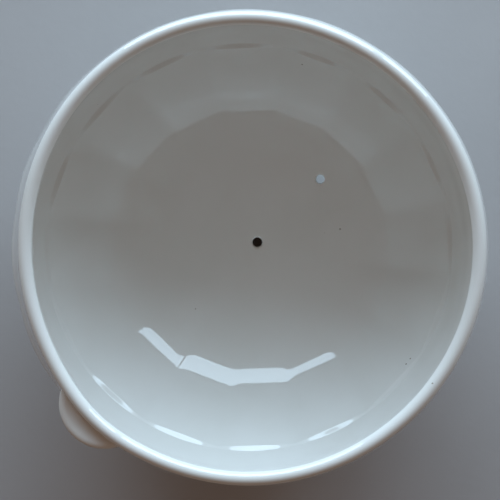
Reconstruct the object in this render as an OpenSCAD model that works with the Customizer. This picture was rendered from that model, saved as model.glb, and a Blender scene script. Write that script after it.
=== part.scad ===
// Yarn bowl: a slip-cast, glazed bowl with soft gadroons round its wall, a rounded lip with a
// thumb lug under it, a foot ring, a drain hole in the middle of the floor and a yarn hole
// beside it. The origin is the centre of the foot on the table, and +Z points up.

/* [Bowl] */
// Height of the bowl from the table to the top of the lip
bowl_h = 97; // [80:1:120]
// Inside radius of the mouth, at the lip
mouth_r = 75.4; // [66:0.1:78]
// Inside radius at the widest part of the wall
belly_r = 82.3; // [80:0.1:98]
// Depth of the widest part below the top of the lip
belly_drop = 31; // [25:1:36]
// Thickness of the wall and of the floor
wall_t = 4; // [3.3:0.1:5]

/* [Lip] */
// How far the rounded lip stands out past each face of the wall
lip_proud = 0.35; // [0.1:0.05:0.8]
// Height of the plain band that carries the lip
band_h = 9; // [7:0.5:11]

/* [Floor] */
// Slope of the dished floor where it turns up into the wall, in degrees
dish_slope = 12; // [9:0.5:15]
// Least slope at which the floor ends and the gadrooned wall starts, in degrees
wall_slope = 20; // [19:0.5:26]

/* [Foot] */
// Outside radius of the foot ring
foot_r = 33; // [28:0.5:40]
// Width of the foot ring
foot_w = 4; // [3:0.5:6]
// Height of the middle of the underside above the table
foot_gap = 4; // [3:0.5:6]

/* [Gadroons] */
// How many lobes run round the outside of the wall, with as many soft panels inside it
lobes = 16; // [12:1:20]
// Depth from the crown of a lobe to the crease beside it, low on the wall
lobe_depth = 1.2; // [0.6:0.1:1.6]
// The same depth at the widest part, as a share of the depth low on the wall
belly_share = 0.75; // [0.2:0.05:0.9]
// How flat the panels inside the wall are: 0 is round and 1 is flat from corner to corner
panel_flat = 0.9; // [0:0.1:1]
// Slope of the inner wall at the ledge where the panels end, in degrees
ledge_slope = 69.5; // [66:0.5:80]
// Azimuth of the crown of the first lobe, in degrees
lobe_turn = 2.3; // [0:0.1:22.5]

/* [Lean] */
// How far the widest part has moved sideways in the firing
lean = 3.8; // [0:0.1:4.5]
// Direction in which the widest part has moved, in degrees
lean_azimuth = 205; // [0:5:355]

/* [Holes] */
// Diameter of the drain hole in the middle of the floor
drain_d = 4; // [3:0.1:6]
// Diameter of the yarn hole
yarn_d = 4; // [3:0.1:5]
// Distance from the outside of the foot ring to the middle of the yarn hole
yarn_gap = 5; // [4.5:0.5:7]
// Azimuth of the yarn hole, in degrees
yarn_azimuth = 45; // [0:5:355]

/* [Lug] */
// Azimuth of the middle of the lug, in degrees
lug_azimuth = 226.7; // [180:0.1:270]
// Radius of the rounded end of the lug
lug_r = 15.5; // [11:0.5:16]
// Thickness of the lug
lug_t = 7; // [5:0.5:8]
// How far the lug stands out past the wall behind it
lug_reach = 7.2; // [4.5:0.1:9]
// Drop from the top of the lip to the top of the lug
lug_drop = 5; // [4:0.5:8]

/* [Hidden] */

glaze = [0.86, 0.86, 0.83];
bisque = [0.84, 0.80, 0.74];

// The middle of the shell's thickness follows three arcs that run into each other: the dish of
// the floor, the haunch from the floor to the widest part, and the shoulder from there to the lip.
half_t = wall_t / 2;
lip_r = half_t + lip_proud;
floor_z = foot_gap + half_t;
belly_z = bowl_h - belly_drop;
belly_mid_r = belly_r + half_t;
dish_rise = tan(dish_slope / 2);
haunch_r = (belly_z - floor_z - dish_rise * belly_mid_r)
    / (cos(dish_slope) - dish_rise * (1 - sin(dish_slope)));
dish_r = (belly_mid_r - haunch_r * (1 - sin(dish_slope))) / sin(dish_slope);
lip_in = belly_mid_r - mouth_r - lip_r;
shoulder_h = belly_drop - lip_r;
shoulder_r = (lip_in * lip_in + shoulder_h * shoulder_h) / (2 * lip_in);
lip_slope = 90 + asin(shoulder_h / shoulder_r);
band_slope = 90 + asin((shoulder_h + lip_r - band_h) / shoulder_r);

// A point of the shell where its slope is a, at a depth s outside the middle of its thickness.
function mid_point(a) =
    a <= dish_slope ? [dish_r * sin(a), floor_z + dish_r * (1 - cos(a))]
    : a <= 90 ? [belly_mid_r - haunch_r * (1 - sin(a)), belly_z - haunch_r * cos(a)]
    : [belly_mid_r - shoulder_r * (1 - sin(a)), belly_z - shoulder_r * cos(a)];
function shell_point(a, s) = mid_point(a) + s * [sin(a), -cos(a)];
function shell_arc(from, to, steps, s) =
    [for (i = [0 : steps]) shell_point(from + (to - from) * i / steps, s)];

// The lip is a bead round the end of the shell. It starts where it comes out of the outer wall
// and ends, for a last of 1, where it goes into the inner wall, or partway there.
lip_steps = 18;
lip_neck = acos(half_t / lip_r);
neck_slope = lip_slope - 1 - lip_r * sin(lip_neck) / shoulder_r * 180 / PI;
function lip_arc(last) =
    let (along = [cos(lip_slope), sin(lip_slope)], out = [sin(lip_slope), -cos(lip_slope)])
    [for (i = [0 : lip_steps * last])
        let (turn = -lip_neck + (180 + 2 * lip_neck) * i / lip_steps)
        mid_point(lip_slope) + lip_r * (cos(turn) * out + sin(turn) * along)];

// The slope at which the shell has the radius r, at a depth s outside the middle of its thickness.
function slope_at(r, s) = r <= (dish_r + s) * sin(dish_slope)
    ? asin(r / (dish_r + s))
    : asin((r - belly_mid_r + haunch_r) / (haunch_r + s));

// The yarn hole goes through the floor outside the foot ring, and the wall starts past the hole.
yarn_reach = foot_r + yarn_gap;
yarn_slope = slope_at(yarn_reach, 0);
seam_slope = max(wall_slope, slope_at(yarn_reach + yarn_d / 2 + 4.4, 0));

// The underside runs from the middle to the wall, with a point at each edge of the foot ring
// and one where the dish turns into the haunch.
foot_in = slope_at(foot_r - foot_w, half_t);
foot_out = slope_at(foot_r, half_t);
under_stops = dish_slope < foot_in ? [0, dish_slope, foot_in, foot_out, seam_slope]
    : dish_slope < foot_out ? [0, foot_in, dish_slope, foot_out, seam_slope]
    : [0, foot_in, foot_out, dish_slope, seam_slope];
function under_arc(from, to) = [
    for (i = [0 : len(under_stops) - 2])
        if (under_stops[i] >= from && under_stops[i + 1] <= to)
            each shell_arc(under_stops[i], under_stops[i + 1], 3, half_t)
];

// The gadroons: outside, each lobe is a shallow arch between two creases, deepest low on the
// wall. Inside there is a soft flat panel behind each lobe. They end at a small ledge, and the
// shoulder above it is round inside.
columns_per_lobe = 6;
columns = lobes * columns_per_lobe;
wall_rows = 16;
function lobe_share(a) = lookup(a, [
    [seam_slope, 0],
    [seam_slope + 8, 0.6],
    [seam_slope + 16, 1],
    [60, 1],
    [90, belly_share],
    [band_slope, 0]
]);
function panel_share(a) =
    lookup(a, [[seam_slope, 0], [seam_slope + 10, 1], [ledge_slope - 1, 1], [ledge_slope + 1, 0]]);
function column_azimuth(c) = lobe_turn + (c / columns_per_lobe - 0.5) * 360 / lobes;

// How far column c stands out where the slope is a: outside as an arch about its mean, inside
// as a chord from corner to corner.
function arch(c) = abs(sin(180 * c / columns_per_lobe)) - 2 / PI;
function chord(c) =
    let (half = 180 / lobes, u = ((c % columns_per_lobe) / columns_per_lobe - 0.5) * 2 * half)
    cos(half) / cos(u) - 1;
function lobe_push(a, c) = lobe_depth * lobe_share(a) * arch(c);
function panel_push(a, c) =
    panel_flat * panel_share(a) * chord(c) * shell_point(a, -half_t)[0] * sin(a);

// The floor and the mouth stay on the axis, and the widest part between them leans to one side.
function smooth(x) = x * x * (3 - 2 * x);
function shift_at(a) = lean * [cos(lean_azimuth), sin(lean_azimuth), 0] * (a < 90
    ? smooth((a - seam_slope) / (90 - seam_slope))
    : 1 - smooth((a - 90) / (band_slope - 90)));

// The flat sides between columns are set out so that they touch the round seams from outside.
chord_fit = 1 / cos(180 / columns);
ledge_row = 9;
function row_slope(j) = j <= ledge_row
    ? seam_slope + (ledge_slope - 1 - seam_slope) * j / ledge_row
    : ledge_slope + 1 + (band_slope - ledge_slope - 1) * (j - ledge_row - 1)
        / (wall_rows - ledge_row - 1);
function wall_point(j, c, s) =
    let (a = row_slope(j), push = s > 0 ? lobe_push(a, c) : panel_push(a, c),
        p = shell_point(a, s + push), u = column_azimuth(c), r = p[0] * chord_fit)
    [r * cos(u), r * sin(u), p[1]] + shift_at(a);

// Two triangles over the corners p, q, r, t, which go clockwise seen from outside.
function two_triangles(p, q, r, t) = [[p, q, r], [p, r, t]];

// The wall from one row up to another: rings of points go up its outside and down its inside.
module wall_shell(low, high) {
    rows = high - low;
    rings = 2 * (rows + 1);
    points = [
        for (k = [0 : rings - 1], c = [0 : columns - 1])
            k <= rows ? wall_point(low + k, c, half_t)
            : wall_point(high + rows + 1 - k, c, -half_t)
    ];
    function at(k, c) = (k % rings) * columns + c % columns;
    faces = [
        for (k = [0 : rings - 1], c = [0 : columns - 1])
            each two_triangles(at(k, c), at(k + 1, c), at(k + 1, c + 1), at(k, c + 1))
    ];
    polyhedron(points = points, faces = faces, convexity = 6);
}

// A block whose outer side is the wall's own outside behind the lug, for seating the lug on it.
// It reaches inwards past the whole of the lug's round.
seat_span = 5;
seat_rows = 4;
seat_depth = 2 * lug_r - lug_reach + 2;
module lug_seat() {
    middle = round((lug_azimuth - lobe_turn) * columns / 360 + columns_per_lobe / 2);
    low = wall_rows - seat_rows;
    wide = 2 * seat_span + 1;
    points = [
        for (s = [half_t, -seat_depth], j = [low : wall_rows], c = [0 : wide - 1])
            wall_point(j, middle - seat_span + c, s)
    ];
    function at(inner, j, c) = (inner * (seat_rows + 1) + j) * wide + c;
    faces = concat(
        [for (j = [0 : seat_rows - 1], c = [0 : wide - 2])
            each two_triangles(at(0, j, c), at(0, j + 1, c), at(0, j + 1, c + 1), at(0, j, c + 1))],
        [for (j = [0 : seat_rows - 1], c = [0 : wide - 2])
            each two_triangles(at(1, j, c), at(1, j, c + 1), at(1, j + 1, c + 1), at(1, j + 1, c))],
        [for (j = [0 : seat_rows - 1])
            each two_triangles(at(0, j, 0), at(1, j, 0), at(1, j + 1, 0), at(0, j + 1, 0))],
        [for (j = [0 : seat_rows - 1])
            each two_triangles(at(0, j, wide - 1), at(0, j + 1, wide - 1), at(1, j + 1, wide - 1),
                at(1, j, wide - 1))],
        [for (c = [0 : wide - 2])
            each two_triangles(at(0, 0, c), at(0, 0, c + 1), at(1, 0, c + 1), at(1, 0, c))],
        [for (c = [0 : wide - 2])
            each two_triangles(at(0, seat_rows, c), at(1, seat_rows, c), at(1, seat_rows, c + 1),
                at(0, seat_rows, c + 1))]
    );
    polyhedron(points = points, faces = faces, convexity = 4);
}

// The band's outside, filled in to its axis, for the same use. Inside the wall it reaches down
// past the top of the block, so that the two cut as one.
module band_seat() {
    plug_top = lip_arc(0.5);
    rotate_extrude($fn = 120)
        polygon(concat(
            [[0, shell_point(band_slope, -seat_depth)[1] - wall_t]],
            [shell_point(band_slope, -seat_depth) - [0, wall_t]],
            [shell_point(band_slope, 0) - [0, half_t]],
            shell_arc(band_slope, neck_slope, 6, half_t),
            plug_top,
            [[0, plug_top[len(plug_top) - 1][1]]]
        ));
}

module bowl_floor() {
    color(glaze)
        difference() {
            rotate_extrude($fn = 120)
                polygon(concat(
                    under_arc(0, seam_slope),
                    shell_arc(seam_slope, dish_slope, 4, -half_t),
                    shell_arc(dish_slope, 0, 8, -half_t)
                ));
            cylinder(d = drain_d, h = floor_z + wall_t, $fn = 48);
            rotate([0, 0, yarn_azimuth])
                translate([yarn_reach, 0, mid_point(yarn_slope)[1]])
                    rotate([0, -yarn_slope, 0])
                        cylinder(d = yarn_d, h = 3 * wall_t, center = true, $fn = 48);
        }
}

module gadrooned_wall() {
    color(glaze) wall_shell(0, ledge_row + 1);
}

module shoulder() {
    color(glaze) wall_shell(ledge_row + 1, wall_rows);
}

module rim_band() {
    color(glaze)
        rotate_extrude($fn = 120)
            polygon(concat(
                shell_arc(band_slope, neck_slope, 6, half_t),
                lip_arc(1),
                shell_arc(neck_slope, band_slope, 6, -half_t)
            ));
}

module foot_ring() {
    color(bisque)
        rotate_extrude($fn = 120)
            polygon(concat(
                [[foot_r, 0], [foot_r - foot_w, 0]],
                under_arc(foot_in, foot_out)
            ));
}

module thumb_lug() {
    edge_r = lug_t / 2;
    lug_z = bowl_h - lug_drop - edge_r;
    behind = shell_point(90 + asin((lug_z - belly_z) / shoulder_r), half_t);
    lug_at = behind[0] + lug_reach - lug_r;
    color(glaze)
        difference() {
            rotate([0, 0, lug_azimuth])
                translate([lug_at, 0, lug_z])
                    rotate_extrude($fn = 96) {
                        translate([0, -edge_r]) square([lug_r - edge_r, lug_t]);
                        translate([lug_r - edge_r, 0]) circle(r = edge_r, $fn = 32);
                    }
            band_seat();
            lug_seat();
        }
}

bowl_floor();
gadrooned_wall();
shoulder();
rim_band();
foot_ring();
thumb_lug();
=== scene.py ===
import math

import bmesh
import bpy
from mathutils import Matrix, Vector


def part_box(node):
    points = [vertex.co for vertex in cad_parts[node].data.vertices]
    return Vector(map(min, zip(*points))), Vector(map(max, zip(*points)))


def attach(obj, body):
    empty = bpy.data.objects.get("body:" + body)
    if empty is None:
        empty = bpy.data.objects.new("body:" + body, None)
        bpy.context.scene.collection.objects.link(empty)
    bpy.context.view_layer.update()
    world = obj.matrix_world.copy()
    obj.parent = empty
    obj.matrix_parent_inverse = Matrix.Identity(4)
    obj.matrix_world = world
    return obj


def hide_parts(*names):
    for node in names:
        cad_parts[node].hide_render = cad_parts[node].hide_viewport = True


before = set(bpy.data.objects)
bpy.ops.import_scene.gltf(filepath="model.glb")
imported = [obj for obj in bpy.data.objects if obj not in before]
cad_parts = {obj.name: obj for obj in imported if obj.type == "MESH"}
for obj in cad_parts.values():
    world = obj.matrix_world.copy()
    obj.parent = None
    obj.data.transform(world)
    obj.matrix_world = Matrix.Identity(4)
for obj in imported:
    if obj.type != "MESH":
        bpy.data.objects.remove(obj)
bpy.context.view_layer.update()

# ---------------------------------------------------------------- sizes, in metres
FLOOR_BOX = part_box("bowl_floor")
BAND_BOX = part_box("rim_band")
RING_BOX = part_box("foot_ring")
LUG_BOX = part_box("thumb_lug")
MM = 0.001
WALL = 4.0 * MM
HALF = WALL / 2
HEIGHT = BAND_BOX[1][2]
LIP_PROUD = 0.35 * MM
LIP = HALF + LIP_PROUD
FOOT_GAP = FLOOR_BOX[0][2]
FOOT_R = RING_BOX[1][0]
FOOT_W = 4.0 * MM
BELLY_DROP = 31 * MM
BELLY_Z = HEIGHT - BELLY_DROP
BELLY_R = 82.3 * MM
BELLY_MID = BELLY_R + HALF
MOUTH_R = 75.4 * MM
MOUTH_MID = MOUTH_R + LIP
DISH = math.radians(12)
SEAM = math.radians(20)
LEDGE = math.radians(69.5)
# The slope at which the shoulder has run into the plain band under the lip.
BAND = math.radians(107)
DRAIN_R = 2.0 * MM
YARN_R = 2.0 * MM
YARN_REACH = 38 * MM
YARN_AZIMUTH = math.radians(45)
LOBES = 16
LOBE_DEPTH = 1.2 * MM
PANEL_FLAT = 0.95
PER_LOBE = 6
COLUMNS = LOBES * PER_LOBE
HALF_LOBE = math.pi / LOBES
TURN = math.radians(2.3)
LEAN = 3.8 * MM
LEAN_AZIMUTH = math.radians(205)
LUG_AZIMUTH = math.radians(226.7)
LUG_R = 15.5 * MM
LUG_REACH = 7.2 * MM

# The middle of the wall's thickness: the dish of the floor, the haunch and the shoulder.
DISH_RISE = math.tan(DISH / 2)
MID_FLOOR = FOOT_GAP + HALF
HAUNCH_R = (BELLY_Z - MID_FLOOR - DISH_RISE * BELLY_MID) / (
    math.cos(DISH) - DISH_RISE * (1 - math.sin(DISH)))
DISH_R = (BELLY_MID - HAUNCH_R * (1 - math.sin(DISH))) / math.sin(DISH)
SHOULDER_IN = BELLY_MID - MOUTH_MID
SHOULDER_UP = HEIGHT - LIP - BELLY_Z
SHOULDER_R = (SHOULDER_IN ** 2 + SHOULDER_UP ** 2) / (2 * SHOULDER_IN)
LIP_SLOPE = math.pi / 2 + math.asin(SHOULDER_UP / SHOULDER_R)


def wall_point(slope, depth):
    """(radius, height) where the wall has that slope, at a depth outside its middle."""
    if slope <= DISH:
        radius = DISH_R * math.sin(slope)
        height = MID_FLOOR + DISH_R * (1 - math.cos(slope))
    else:
        arc = HAUNCH_R if slope <= math.pi / 2 else SHOULDER_R
        radius = BELLY_MID - arc * (1 - math.sin(slope))
        height = BELLY_Z - arc * math.cos(slope)
    return radius + depth * math.sin(slope), height - depth * math.cos(slope)


def slope_at(radius, depth):
    """The slope at which the dish or the haunch has that radius."""
    if radius <= (DISH_R + depth) * math.sin(DISH):
        return math.asin(radius / (DISH_R + depth))
    return math.asin((radius - BELLY_MID + HAUNCH_R) / (HAUNCH_R + depth))


def smooth(x):
    x = min(max(x, 0.0), 1.0)
    return x * x * (3 - 2 * x)


def between(x, stops):
    """The value at x on a line through (x, value) stops."""
    for (x0, y0), (x1, y1) in zip(stops, stops[1:]):
        if x <= x1:
            return y0 + (y1 - y0) * max(x - x0, 0) / (x1 - x0)
    return stops[-1][1]


def lean_at(slope):
    """How far the bowl has leaned to one side where the wall has that slope."""
    if slope < math.pi / 2:
        share = smooth((slope - SEAM) / (math.pi / 2 - SEAM))
    else:
        share = 1 - smooth((slope - math.pi / 2) / (BAND - math.pi / 2))
    return Vector((math.cos(LEAN_AZIMUTH), math.sin(LEAN_AZIMUTH), 0)) * (LEAN * share)


def lobe_out(slope, phase):
    """How far a lobe stands out on the outside: phase runs from 0 in a crease to 1 on a crown."""
    stops = [(20, 0), (28, 0.6), (36, 1), (60, 1), (90, 0.75), (106, 0)]
    share = between(math.degrees(slope), stops)
    return LOBE_DEPTH * share * (math.sin(math.pi / 2 * phase) - 2 / math.pi)


def panel_in(slope, phase):
    """How flat a panel makes the inside there, as a factor on the radius. The panels grow out of
    the round dish and end at the ledge."""
    ledge = math.degrees(LEDGE)
    stops = [(12.5, 0), (21, 1), (ledge - 0.5, 1), (ledge + 0.75, 0), (106, 0)]
    share = between(math.degrees(slope), stops)
    angle = HALF_LOBE * (1 - phase)
    return 1 + PANEL_FLAT * share * (math.cos(HALF_LOBE) / math.cos(angle) - 1)


# ---------------------------------------------------------------- working by hand in edit mode
def start_edit(piece):
    bpy.ops.object.select_all(action="DESELECT")
    bpy.context.view_layer.objects.active = piece
    piece.select_set(True)
    bpy.ops.object.mode_set(mode="EDIT")
    bpy.ops.mesh.select_mode(type="VERT")


def end_edit():
    bpy.ops.object.mode_set(mode="OBJECT")


def corners_of(piece):
    cage = bmesh.from_edit_mesh(piece.data)
    cage.verts.ensure_lookup_table()
    return cage.verts


def picked(piece):
    """The numbers of the selected points."""
    return [v.index for v in corners_of(piece) if v.select]


def pick(piece, numbers):
    """Selects just these points, and the edges and faces between them."""
    cage = bmesh.from_edit_mesh(piece.data)
    cage.verts.ensure_lookup_table()
    cage.select_mode = {"VERT"}
    for part in (cage.verts, cage.edges, cage.faces):
        for item in part:
            item.select = False
    for number in numbers:
        cage.verts[number].select = True
    cage.select_flush_mode()
    bmesh.update_edit_mesh(piece.data, loop_triangles=False, destructive=False)


def slide(x, y, z):
    bpy.ops.transform.translate(value=(x, y, z))


def scale_about(factor, centre):
    bpy.ops.transform.resize(value=(factor, factor, 1), center_override=centre)


def finish_mesh(piece, levels):
    """Applies a subdivision and leaves the piece at the origin, smooth shaded."""
    bpy.ops.object.select_all(action="DESELECT")
    bpy.context.view_layer.objects.active = piece
    piece.select_set(True)
    if levels:
        rounding = piece.modifiers.new("rounding", "SUBSURF")
        rounding.levels = levels
        rounding.render_levels = levels
        bpy.ops.object.modifier_apply(modifier=rounding.name)
    bpy.ops.object.transform_apply(location=True, rotation=True, scale=True)
    bpy.ops.object.shade_smooth()


# ---------------------------------------------------------------- the glazed shell
def column_azimuth(column):
    return TURN - HALF_LOBE + column * 2 * math.pi / COLUMNS


def shell_profile():
    """Points round the shell's section: (slope, radius, height, side), where the side is in,
    out or plain. They go up the inside, over the lip and down the outside to the hole."""
    stops = []
    for radius in (3.4, 8, 15.5, 23.5, 31, 35.5, 38.2, 41):
        slope = slope_at(radius * MM, -HALF)
        stops.append((slope, -HALF, "in"))
    for degrees in (19.5, 24, 28.5, 33.5, 39, 45, 51, 57, 62, 66, 68.4, 68.9,
                    69.0, 70.25, 70.35, 70.9, 73.5, 78, 84, 91.5, 100):
        stops.append((math.radians(degrees), -HALF, "in"))
    points = [(slope, *wall_point(slope, depth), side) for slope, depth, side in stops]
    # The lip is a bead round the wall's end, a little thicker than the wall.
    along = (math.cos(LIP_SLOPE), math.sin(LIP_SLOPE))
    out = (math.sin(LIP_SLOPE), -math.cos(LIP_SLOPE))
    middle = wall_point(LIP_SLOPE, 0)
    bead = LIP * 1.045
    neck = LIP_SLOPE - math.radians(3.6)
    points.append((LIP_SLOPE, *wall_point(neck, -HALF * 0.98), "plain"))
    for step in range(10):
        turn = math.radians(205 - 25.5 * step)
        across, up = bead * math.cos(turn), bead * math.sin(turn)
        points.append((LIP_SLOPE, middle[0] + out[0] * across + along[0] * up,
                       middle[1] + out[1] * across + along[1] * up, "plain"))
    points.append((LIP_SLOPE, *wall_point(neck, HALF * 0.98), "plain"))
    # Outside, the shoulder is a little thinner than the rest of the wall.
    for degrees in (102, 96, 89, 81, 73, 64, 55, 46, 38, 31, 25, 20):
        slope = math.radians(degrees)
        depth = HALF - 0.3 * MM * smooth((degrees - 80) / 6)
        points.append((slope, *wall_point(slope, depth), "out"))
    for radius in (40.5, 37.6, 33.5, 26, 14, 3.4):
        slope = slope_at(radius * MM, HALF)
        points.append((slope, *wall_point(slope, HALF), "plain"))
    # The drain hole's soft glazed edges.
    low = wall_point(0, HALF)[1]
    high = wall_point(0, -HALF)[1]
    for wider, height in ((0.35, low + 0.1 * MM), (0, low + 0.7 * MM), (-0.02, low + 2 * MM),
                          (0, high - 0.9 * MM), (0.3, high - 0.18 * MM)):
        points.append((0, DRAIN_R + wider * MM, height, "plain"))
    return points


def rim_wobble(azimuth):
    """How far the fired rim is out of round there."""
    wave = 0.54 * math.cos(2 * (azimuth + math.radians(80.6)))
    wave += 0.48 * math.cos(3 * (azimuth - math.radians(4.6)))
    off = math.remainder(azimuth - math.radians(228), 2 * math.pi)
    return (wave + 1.0 * math.exp(-(math.degrees(off) / 13) ** 2)) * MM


def raise_shell():
    """Extrudes the shell ring by ring, and sets out the lobes and panels of each ring."""
    profile = shell_profile()
    radius, height = profile[0][1:3]
    bpy.ops.object.select_all(action="DESELECT")
    bpy.ops.mesh.primitive_circle_add(vertices=COLUMNS, radius=radius, fill_type="NOTHING",
                                      location=(0, 0, height))
    shell = bpy.context.object
    shell.name = "glazed_shell"
    bpy.ops.object.transform_apply(location=True, rotation=True, scale=True)
    start_edit(shell)
    bpy.ops.mesh.select_all(action="SELECT")
    # Blender starts a circle at the +Y axis, and the first crease is turned to its place.
    first = corners_of(shell)[0].co
    turn = column_azimuth(0) - math.atan2(first.y, first.x)
    bpy.ops.transform.rotate(value=-turn, orient_axis="Z", center_override=(0, 0, height))
    first = corners_of(shell)[0].co
    if abs(math.remainder(math.atan2(first.y, first.x) - column_azimuth(0), 2 * math.pi)) > 0.01:
        bpy.ops.transform.rotate(value=2 * turn, orient_axis="Z", center_override=(0, 0, height))
    rings = [picked(shell)]
    centre = Vector((0, 0, height))
    for slope, new_radius, new_height, _ in profile[1:]:
        bpy.ops.mesh.extrude_region_move()
        new_centre = lean_at(slope) + Vector((0, 0, new_height))
        scale_about(new_radius / radius, centre)
        slide(*(new_centre - centre))
        radius, centre = new_radius, new_centre
        rings.append(picked(shell))
    bpy.ops.mesh.select_all(action="DESELECT")
    pick(shell, rings[0] + rings[-1])
    bpy.ops.mesh.bridge_edge_loops()
    for (slope, radius, height, side), ring in zip(profile, rings):
        if side == "plain":
            continue
        centre = lean_at(slope) + Vector((0, 0, height))
        verts = corners_of(shell)
        phases = {}
        for number in ring:
            flat = verts[number].co - centre
            column = (math.atan2(flat.y, flat.x) - column_azimuth(0)) * COLUMNS / (2 * math.pi)
            step = round(column) % PER_LOBE
            phases.setdefault(min(step, PER_LOBE - step), []).append(number)
        for step, numbers in phases.items():
            phase = step / (PER_LOBE / 2)
            if side == "in":
                factor = panel_in(slope, phase)
            else:
                factor = 1 + lobe_out(slope, phase) / radius
            if abs(factor - 1) > 1e-5:
                pick(shell, numbers)
                scale_about(factor, centre)
    return shell


def at_places(piece, places):
    """The numbers of the points that lie at these places."""
    found = []
    for place in places:
        found.append(min(corners_of(piece), key=lambda v: (v.co - place).length_squared).index)
    return found


def bore_yarn_hole(shell):
    """Opens the yarn hole: the points round one point of each skin are drawn into a circle,
    the faces inside it go, and the two edges are rounded and bridged."""
    slope = slope_at(YARN_REACH, 0)
    outward = Vector((math.cos(YARN_AZIMUTH), math.sin(YARN_AZIMUTH), 0))
    middle = outward * YARN_REACH + Vector((0, 0, wall_point(slope, 0)[1]))
    out = outward * math.sin(slope) - Vector((0, 0, math.cos(slope)))
    round_way = Vector((-outward.y, outward.x, 0))
    up_way = round_way.cross(out)
    throats = []
    for depth in (-HALF, HALF):
        aim = middle + out * depth
        skin = [v for v in corners_of(shell)
                if (v.co - aim).length < 9 * MM and abs((v.co - middle).dot(out) - depth) < HALF * 0.8]
        hub = min(skin, key=lambda v: (v.co - aim).length)
        hub_at = hub.co.copy()
        block = {v for face in hub.link_faces for v in face.verts} - {hub}
        wider = {v for b in block for face in b.link_faces for v in face.verts} - block - {hub}
        moves = []
        rim = []
        for group, radius, share in ((wider, YARN_R + 2.9 * MM, 0.3), (block, YARN_R + 0.28 * MM, 1.0)):
            for v in group:
                away = v.co - hub_at
                angle = math.atan2(away.dot(up_way), away.dot(round_way))
                goal = aim + (round_way * math.cos(angle) + up_way * math.sin(angle)) * radius
                goal = v.co.lerp(goal, share)
                goal.z = wall_point(slope_at(math.hypot(goal.x, goal.y), depth), depth)[1]
                moves.append((v.index, goal - v.co))
                if group is block:
                    rim.append(goal.copy())
        for number, way in moves:
            pick(shell, [number])
            slide(*way)
        pick(shell, at_places(shell, [hub_at]))
        bpy.ops.mesh.delete(type="VERT")
        inward = -out if depth > 0 else out
        pick(shell, at_places(shell, rim))
        bpy.ops.mesh.extrude_region_move()
        bpy.ops.transform.resize(value=(0.92, 0.92, 0.92), center_override=aim)
        slide(*(inward * 0.3 * MM))
        bpy.ops.mesh.extrude_region_move()
        slide(*(inward * 0.9 * MM))
        throats += [corners_of(shell)[number].co.copy() for number in picked(shell)]
    pick(shell, at_places(shell, throats))
    bpy.ops.mesh.bridge_edge_loops()


def push_rim(shell):
    """Pushes the upper wall and the rim out of round, more towards the lip."""
    groups = {}
    centre = lean_at(LIP_SLOPE)
    for v in corners_of(shell):
        if v.co.z < BELLY_Z - 2 * MM:
            continue
        flat = v.co - centre
        turns = (math.atan2(flat.y, flat.x) - column_azimuth(0)) / (2 * math.pi)
        column = round(turns * COLUMNS) % COLUMNS
        fade = round(smooth((v.co.z - BELLY_Z) / (HEIGHT - 8 * MM - BELLY_Z)) * 5) / 5
        if fade > 0:
            groups.setdefault((column, fade), []).append(v.index)
    for (column, fade), numbers in groups.items():
        azimuth = column_azimuth(column)
        push = rim_wobble(azimuth) * fade
        pick(shell, numbers)
        slide(push * math.cos(azimuth), push * math.sin(azimuth), 0)


def make_shell():
    shell = raise_shell()
    bore_yarn_hole(shell)
    push_rim(shell)
    bpy.ops.mesh.select_all(action="SELECT")
    bpy.ops.mesh.remove_doubles(threshold=1e-6)
    bpy.ops.mesh.normals_make_consistent(inside=False)
    end_edit()
    finish_mesh(shell, 2)
    return shell


# ---------------------------------------------------------------- the foot ring
def make_foot():
    """A ring turned on the wheel: a rounded, wiped foot that runs up into the underside."""
    outer, inner = FOOT_R, FOOT_R - FOOT_W
    top_out = wall_point(slope_at(outer, HALF), HALF)[1] + 1.2 * MM
    top_in = wall_point(slope_at(inner, HALF), HALF)[1] + 1.2 * MM
    section = [(outer - 0.05 * MM, top_out), (outer - 0.05 * MM, 2.6 * MM),
               (outer - 0.05 * MM, 1.3 * MM), (outer - 0.25 * MM, 0.45 * MM),
               (outer - 0.8 * MM, 0.02 * MM), (outer - 1.8 * MM, 0),
               (inner + 1.8 * MM, 0), (inner + 0.8 * MM, 0.02 * MM),
               (inner + 0.25 * MM, 0.45 * MM), (inner + 0.05 * MM, 1.3 * MM),
               (inner + 0.05 * MM, 2.4 * MM), (inner + 0.05 * MM, top_in)]
    radius, height = section[0]
    bpy.ops.object.select_all(action="DESELECT")
    bpy.ops.mesh.primitive_circle_add(vertices=96, radius=radius, fill_type="NOTHING",
                                      location=(0, 0, height))
    foot = bpy.context.object
    foot.name = "wiped_foot"
    bpy.ops.object.transform_apply(location=True, rotation=True, scale=True)
    start_edit(foot)
    bpy.ops.mesh.select_all(action="SELECT")
    first = picked(foot)
    for new_radius, new_height in section[1:]:
        bpy.ops.mesh.extrude_region_move()
        scale_about(new_radius / radius, (0, 0, height))
        slide(0, 0, new_height - height)
        radius, height = new_radius, new_height
    last = picked(foot)
    pick(foot, first + last)
    bpy.ops.mesh.bridge_edge_loops()
    bpy.ops.mesh.select_all(action="SELECT")
    bpy.ops.mesh.normals_make_consistent(inside=False)
    end_edit()
    finish_mesh(foot, 1)
    return foot


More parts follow.
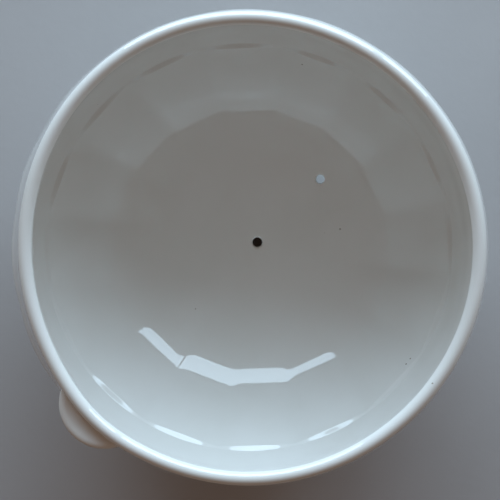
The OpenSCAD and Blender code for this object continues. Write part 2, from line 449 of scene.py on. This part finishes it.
# ---------------------------------------------------------------- the thumb lug
def make_lug():
    """A rounded lug under the lip, pressed in on top, with its root inside the wall."""
    out = Vector((math.cos(LUG_AZIMUTH), math.sin(LUG_AZIMUTH), 0))
    # The subdivision draws the edge in, so the first ring is a little larger than the lug.
    radius = LUG_R + 0.5 * MM
    thick = LUG_BOX[1][2] - LUG_BOX[0][2]
    lug_z = LUG_BOX[1][2] - thick / 2
    behind = wall_point(math.pi / 2 + math.asin((lug_z - BELLY_Z) / SHOULDER_R), HALF)[0]
    place = out * (behind + LUG_REACH - LUG_R) + Vector((0, 0, lug_z))
    bpy.ops.object.select_all(action="DESELECT")
    bpy.ops.mesh.primitive_cylinder_add(vertices=48, radius=radius, depth=thick,
                                        end_fill_type="NOTHING", location=place)
    lug = bpy.context.object
    lug.name = "pressed_lug"
    bpy.ops.object.transform_apply(location=True, rotation=True, scale=True)
    start_edit(lug)
    # The side is a rolled edge: three rings stand round its middle, and the rings inside them
    # dip, so that the top is pressed in.
    bpy.ops.mesh.select_all(action="SELECT")
    bpy.ops.mesh.subdivide(number_cuts=1)
    upper = [v.index for v in corners_of(lug) if v.co.z > lug_z + 0.1 * MM]
    lower = [v.index for v in corners_of(lug) if v.co.z < lug_z - 0.1 * MM]
    for numbers, sign in ((upper, 1), (lower, -1)):
        pick(lug, numbers)
        slide(0, 0, -sign * thick * 0.22)
        for factor, rise in ((0.955, 0.16), (0.875, 0.07), (0.80, -0.02), (0.66, -0.10),
                             (0.42, -0.05), (0.16, 0)):
            bpy.ops.mesh.extrude_region_move()
            slide(0, 0, sign * thick * rise)
            flat = corners_of(lug)[picked(lug)[0]].co - place
            now = math.hypot(flat.x, flat.y)
            scale_about(radius * factor / now, place)
        bpy.ops.mesh.edge_face_add()
        bpy.ops.mesh.poke()
    # The root is cut along a plane inside the wall.
    bpy.ops.mesh.select_all(action="SELECT")
    root = out * (behind - 2.9 * MM) + Vector((0, 0, lug_z))
    bpy.ops.mesh.bisect(plane_co=root, plane_no=out, clear_inner=True, use_fill=True)
    # The two ends of the root follow the round of the wall.
    along = Vector((-out.y, out.x, 0))
    ends = [v.index for v in corners_of(lug) if abs((v.co - root).dot(out)) < 0.05 * MM
            and abs((v.co - root).dot(along)) > 7 * MM]
    pick(lug, ends)
    slide(*(-out * 0.6 * MM))
    bpy.ops.mesh.select_all(action="SELECT")
    bpy.ops.mesh.normals_make_consistent(inside=False)
    end_edit()
    finish_mesh(lug, 2)
    return lug


# ---------------------------------------------------------------- finishes
def new_finish(name):
    finish = bpy.data.materials.new(name)
    finish.use_nodes = True
    nodes = finish.node_tree.nodes
    nodes.clear()
    out = nodes.new("ShaderNodeOutputMaterial")
    shader = nodes.new("ShaderNodeBsdfPrincipled")
    finish.node_tree.links.new(shader.outputs["BSDF"], out.inputs["Surface"])
    return finish, nodes, finish.node_tree.links, shader


def noise(nodes, links, place, scale, detail=2.0, roughness=0.5):
    node = nodes.new("ShaderNodeTexNoise")
    node.inputs["Scale"].default_value = scale
    node.inputs["Detail"].default_value = detail
    node.inputs["Roughness"].default_value = roughness
    links.new(place, node.inputs["Vector"])
    return node.outputs["Fac"]


def ramp(nodes, links, value, low, high, low_to=0.0, high_to=1.0):
    node = nodes.new("ShaderNodeMapRange")
    node.interpolation_type = "SMOOTHSTEP"
    node.inputs["From Min"].default_value = low
    node.inputs["From Max"].default_value = high
    node.inputs["To Min"].default_value = low_to
    node.inputs["To Max"].default_value = high_to
    links.new(value, node.inputs["Value"])
    return node.outputs["Result"]


def blend_colour(nodes, links, factor, first, second):
    node = nodes.new("ShaderNodeMix")
    node.data_type = "RGBA"
    links.new(factor, node.inputs["Factor"])
    for socket, colour in ((node.inputs[6], first), (node.inputs[7], second)):
        if isinstance(colour, tuple):
            socket.default_value = (*colour, 1)
        else:
            links.new(colour, socket)
    return node.outputs[2]


def specks(nodes, links, place, scale, size):
    """Small round spots, thinly scattered."""
    spots = nodes.new("ShaderNodeTexVoronoi")
    spots.inputs["Scale"].default_value = scale
    links.new(place, spots.inputs["Vector"])
    return ramp(nodes, links, spots.outputs["Distance"], size * 0.6, size, 1.0, 0.0)


def ivory_glaze():
    finish, nodes, links, shader = new_finish("ivory_glaze")
    place = nodes.new("ShaderNodeTexCoord").outputs["Object"]
    cloud = noise(nodes, links, place, 28, 3)
    fine = noise(nodes, links, place, 420, 2)
    body = blend_colour(nodes, links, ramp(nodes, links, cloud, 0.35, 0.65),
                        (0.81, 0.805, 0.775), (0.835, 0.83, 0.805))
    few = ramp(nodes, links, noise(nodes, links, place, 60, 1), 0.74, 0.76)
    dots = specks(nodes, links, place, 260, 0.13)
    both = nodes.new("ShaderNodeMath")
    both.operation = "MULTIPLY"
    links.new(few, both.inputs[0])
    links.new(dots, both.inputs[1])
    body = blend_colour(nodes, links, both.outputs[0], body, (0.25, 0.20, 0.15))
    links.new(body, shader.inputs["Base Color"])
    links.new(ramp(nodes, links, cloud, 0.3, 0.7, 0.015, 0.035), shader.inputs["Roughness"])
    swell = nodes.new("ShaderNodeBump")
    swell.inputs["Strength"].default_value = 0.08
    swell.inputs["Distance"].default_value = 0.0004
    links.new(noise(nodes, links, place, 55, 1), swell.inputs["Height"])
    peel = nodes.new("ShaderNodeBump")
    peel.inputs["Strength"].default_value = 0.015
    peel.inputs["Distance"].default_value = 0.0002
    links.new(fine, peel.inputs["Height"])
    links.new(swell.outputs["Normal"], peel.inputs["Normal"])
    links.new(peel.outputs["Normal"], shader.inputs["Normal"])
    shader.inputs["IOR"].default_value = 1.58
    return finish


def wiped_bisque():
    """Glaze on the foot's sides and bare fired clay where it was wiped."""
    finish, nodes, links, shader = new_finish("wiped_bisque")
    place = nodes.new("ShaderNodeTexCoord").outputs["Object"]
    split = nodes.new("ShaderNodeSeparateXYZ")
    links.new(place, split.inputs["Vector"])
    ragged = nodes.new("ShaderNodeMath")
    ragged.operation = "MULTIPLY_ADD"
    links.new(noise(nodes, links, place, 300, 2), ragged.inputs[0])
    ragged.inputs[1].default_value = 0.0008
    links.new(split.outputs["Z"], ragged.inputs[2])
    glazed = ramp(nodes, links, ragged.outputs[0], 0.0012, 0.0016)
    clay = blend_colour(nodes, links, noise(nodes, links, place, 700, 4, 0.7),
                        (0.66, 0.60, 0.51), (0.80, 0.75, 0.67))
    body = blend_colour(nodes, links, glazed, clay, (0.80, 0.80, 0.765))
    links.new(body, shader.inputs["Base Color"])
    links.new(ramp(nodes, links, glazed, 0, 1, 0.85, 0.07), shader.inputs["Roughness"])
    grain = nodes.new("ShaderNodeBump")
    grain.inputs["Distance"].default_value = 0.0002
    links.new(ramp(nodes, links, glazed, 0, 1, 0.5, 0.03), grain.inputs["Strength"])
    links.new(noise(nodes, links, place, 1500, 3, 0.6), grain.inputs["Height"])
    links.new(grain.outputs["Normal"], shader.inputs["Normal"])
    return finish


def table_paint():
    finish, nodes, links, shader = new_finish("pale_table")
    place = nodes.new("ShaderNodeTexCoord").outputs["Object"]
    cloud = noise(nodes, links, place, 9, 4)
    body = blend_colour(nodes, links, ramp(nodes, links, cloud, 0.3, 0.7),
                        (0.42, 0.405, 0.405), (0.455, 0.44, 0.44))
    links.new(body, shader.inputs["Base Color"])
    shader.inputs["Roughness"].default_value = 0.55
    grain = nodes.new("ShaderNodeBump")
    grain.inputs["Strength"].default_value = 0.15
    grain.inputs["Distance"].default_value = 0.0004
    links.new(noise(nodes, links, place, 260, 3), grain.inputs["Height"])
    links.new(grain.outputs["Normal"], shader.inputs["Normal"])
    return finish


# ---------------------------------------------------------------- build the bowl
def place_piece(piece, finish, slot_name, *nodes_shown):
    """Gives a piece its finish, and puts it in the place of CAD nodes."""
    piece.data.materials.clear()
    piece.data.materials.append(finish)
    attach(piece, "root")
    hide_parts(*nodes_shown)


shell = make_shell()
foot = make_foot()
lug = make_lug()
glaze = ivory_glaze()
bisque = wiped_bisque()
place_piece(shell, glaze, "glaze", "bowl_floor", "gadrooned_wall", "shoulder", "rim_band")
place_piece(lug, glaze, "glaze", "thumb_lug")
place_piece(foot, bisque, "bisque", "foot_ring")

# ---------------------------------------------------------------- table, light and camera
bpy.ops.object.select_all(action="DESELECT")
bpy.ops.mesh.primitive_plane_add(size=4, location=(0, 0, -0.0002))
table = bpy.context.object
table.name = "table"
table.data.materials.append(table_paint())


def window_pane(name, azimuth, distance, across, wide, low, high, watts, colour):
    """A soft pane of light, upright, that faces the bowl. across is its middle's offset."""
    light = bpy.data.lights.new(name, "AREA")
    light.shape = "RECTANGLE"
    light.size = wide
    light.size_y = high - low
    light.energy = watts
    light.color = colour
    lamp = bpy.data.objects.new(name, light)
    bpy.context.collection.objects.link(lamp)
    facing = Vector((math.cos(azimuth), math.sin(azimuth), 0))
    beside = Vector((-facing.y, facing.x, 0))
    spot = facing * distance + beside * across + Vector((0, 0, (low + high) / 2))
    turn = Matrix((-beside, Vector((0, 0, 1)), facing)).transposed()
    lamp.matrix_world = Matrix.Translation(spot) @ turn.to_4x4()


WINDOW_AZIMUTH = math.radians(83)
WINDOW_AWAY = 1.2
SILL = 0.12
LINTEL = 1.15
DAYLIGHT = (0.62, 0.83, 1.0)
window_pane("window_wide", WINDOW_AZIMUTH, WINDOW_AWAY, 0.267, 1.627, SILL, LINTEL, 33.5, DAYLIGHT)
window_pane("window_narrow", WINDOW_AZIMUTH, WINDOW_AWAY, -0.853, 0.455, SILL, LINTEL, 9.4, DAYLIGHT)

world = bpy.data.worlds.new("dim_room")
bpy.context.scene.world = world
world.use_nodes = True
room = world.node_tree.nodes["Background"]
room.inputs["Color"].default_value = (1.0, 0.70, 0.53, 1)
room.inputs["Strength"].default_value = 0.165

eye = bpy.data.cameras.new("overhead")
eye.sensor_width = 36
eye.lens = 71.3
camera = bpy.data.objects.new("overhead", eye)
bpy.context.collection.objects.link(camera)
EYE = Vector((0.01395, 0.01290, 0.4303))
TILT = Vector((0.0404, 0.0384, -1)).normalized()
down = Vector((0, 0, -1))
camera.matrix_world = Matrix.Translation(EYE) @ TILT.rotation_difference(down).to_matrix().to_4x4()
bpy.context.scene.camera = camera
bpy.context.scene.view_settings.view_transform = "Standard"
